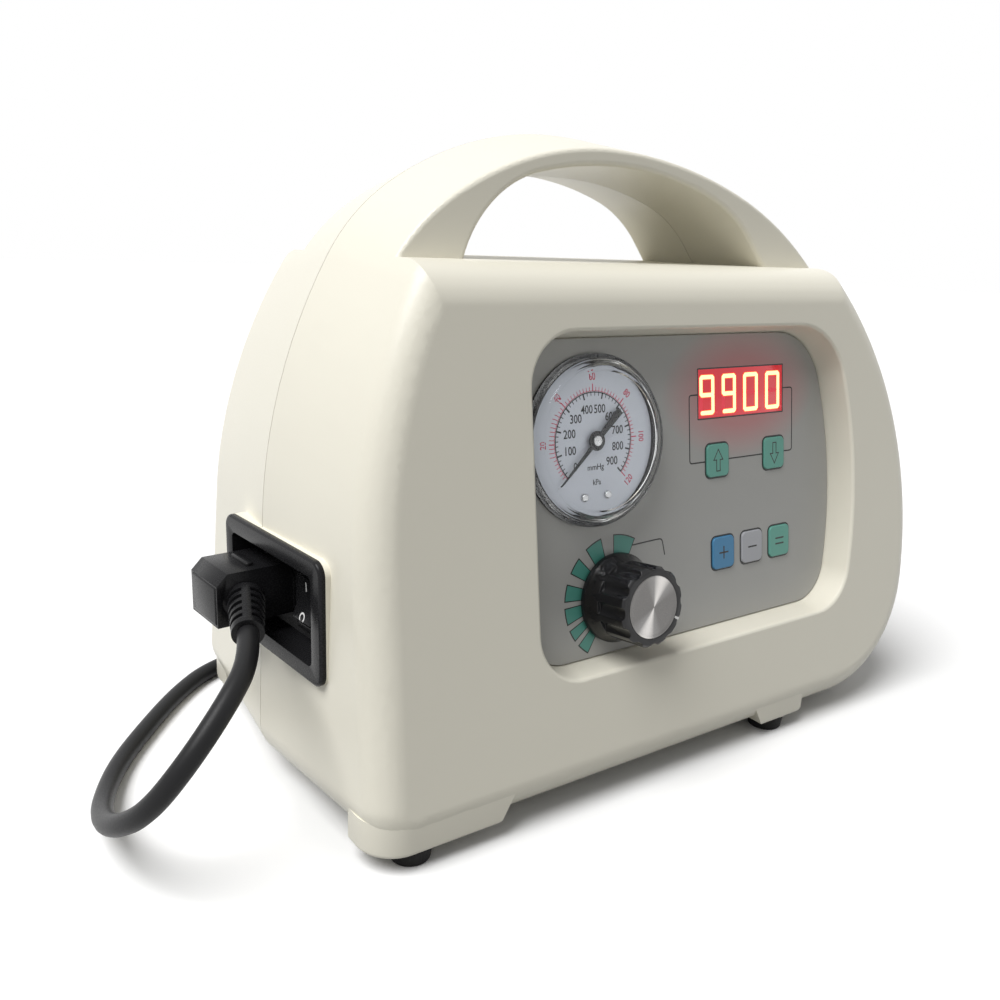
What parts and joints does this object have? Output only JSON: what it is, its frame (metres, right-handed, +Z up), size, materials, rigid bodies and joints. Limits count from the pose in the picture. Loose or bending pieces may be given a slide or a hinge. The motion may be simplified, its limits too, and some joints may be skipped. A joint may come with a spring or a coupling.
{
  "type": "pneumatic tourniquet system",
  "caption": "Bench-top pneumatic tourniquet machine with an arched handle, recessed panel, pressure gauge, lit display, keys, knob, side mains inlet and cord.",
  "frame": {"origin": "on the table under the middle of the machine, its cord left out", "axes": "+Z up, the panel faces -Y, +X to the right as seen from the panel; the mains inlet is on the -X side"},
  "size_m": [0.3614, 0.2902, 0.2391],
  "materials": {
    "black_plastic": "black moulded plastic",
    "board_green": "green circuit board",
    "brass": "brass",
    "cord_black": "black cable jacket",
    "dial_white": "pale enamel dial",
    "display_dark": "dark moulded plastic",
    "display_red": "red filter over the lit digits",
    "gauge_black": "black enamel",
    "gauge_clear": "clear moulded cover",
    "housing": "ivory moulded plastic, satin",
    "key_blue": "blue key",
    "key_teal": "teal key",
    "key_white": "white key",
    "panel_film": "grey printed film",
    "panel_metal": "sheet metal",
    "regulator_metal": "die-cast metal",
    "rubber": "matt black rubber",
    "steel": "plated steel",
    "transformer_yellow": "taped windings",
    "tube_clear": "silicone tube"
  },
  "bodies": {
    "machine": {"air_hoses": "tube_clear", "air_outlet": "steel", "air_pump": "regulator_metal", "board_spacers": "steel", "bourdon_tube": "brass", "capacitors": "display_dark", "chassis_plate": "panel_metal", "cord_connector": "black_plastic", "dial_screws": "steel", "display_module": "display_dark", "display_window": "display_red", "foot_front_left": "rubber", "foot_front_right": "rubber", "foot_rear_left": "rubber", "foot_rear_right": "rubber", "foot_screws": "steel", "front_shell": "housing", "gauge_case": "gauge_black", "gauge_cover": "gauge_clear", "gauge_dial": "dial_white", "gauge_movement": "brass", "gauge_ring": "steel", "inlet_blades": "brass", "inlet_frame": "black_plastic", "key_switches": "display_dark", "main_board": "board_green", "main_spacers": "steel", "mains_inlet": "black_plastic", "mains_plug": "black_plastic", "outlet_nut": "steel", "panel_board": "board_green", "panel_overlay": "panel_film", "panel_plate": "panel_metal", "plug_pins": "brass", "power_cord": "cord_black", "power_cord_coil": "cord_black", "pressure_sensor": "display_dark", "pump_mounts": "rubber", "rear_shell": "housing", "regulator_body": "regulator_metal", "regulator_nut": "steel", "rocker_housing": "black_plastic", "shell_screws": "steel", "solenoid_valves": "regulator_metal", "supply_board": "board_green", "supply_spacers": "steel", "transformer": "transformer_yellow", "valve_block": "regulator_metal"},
    "knob": {"knob": "black_plastic", "knob_cap": "panel_metal", "knob_spindle": "steel"},
    "needle": {"gauge_needle": "gauge_black"},
    "rocker": {"power_rocker": "black_plastic"},
    "key_up": {"key_up": "key_teal"},
    "key_down": {"key_down": "key_teal"},
    "key_inflate": {"key_inflate": "key_blue"},
    "key_slow_release": {"key_slow_release": "key_white"},
    "key_fast_release": {"key_fast_release": "key_teal"}
  },
  "joints": [
    {"name": "knob_turn", "type": "hinge", "parent": "machine", "child": "knob", "pos_m": [-0.03103, -0.06709, 0.07169], "axis": [0, -0.9903, 0.1392], "range_deg": [-30, 270]},
    {"name": "needle_turn", "type": "hinge", "parent": "machine", "child": "needle", "pos_m": [-0.03902, -0.05881, 0.13061], "axis": [0, -0.9903, 0.1392], "range_deg": [-267, 3], "stiffness_Nm_per_rad": 0.0005},
    {"name": "rocker_tilt", "type": "hinge", "parent": "machine", "child": "rocker", "pos_m": [-0.13375, -0.02928, 0.077], "axis": [0.0785, -0.9969, 0], "range_deg": [0, 16]},
    {"name": "key_up_press", "type": "slide", "parent": "machine", "child": "key_up", "axis": [0, 0.9903, -0.1392], "range_m": [0, 0.0004], "stiffness_N_per_m": 500},
    {"name": "key_down_press", "type": "slide", "parent": "machine", "child": "key_down", "axis": [0, 0.9903, -0.1392], "range_m": [0, 0.0004], "stiffness_N_per_m": 500},
    {"name": "key_inflate_press", "type": "slide", "parent": "machine", "child": "key_inflate", "axis": [0, 0.9903, -0.1392], "range_m": [0, 0.0004], "stiffness_N_per_m": 500},
    {"name": "key_slow_release_press", "type": "slide", "parent": "machine", "child": "key_slow_release", "axis": [0, 0.9903, -0.1392], "range_m": [0, 0.0004], "stiffness_N_per_m": 500},
    {"name": "key_fast_release_press", "type": "slide", "parent": "machine", "child": "key_fast_release", "axis": [0, 0.9903, -0.1392], "range_m": [0, 0.0004], "stiffness_N_per_m": 500}
  ]
}
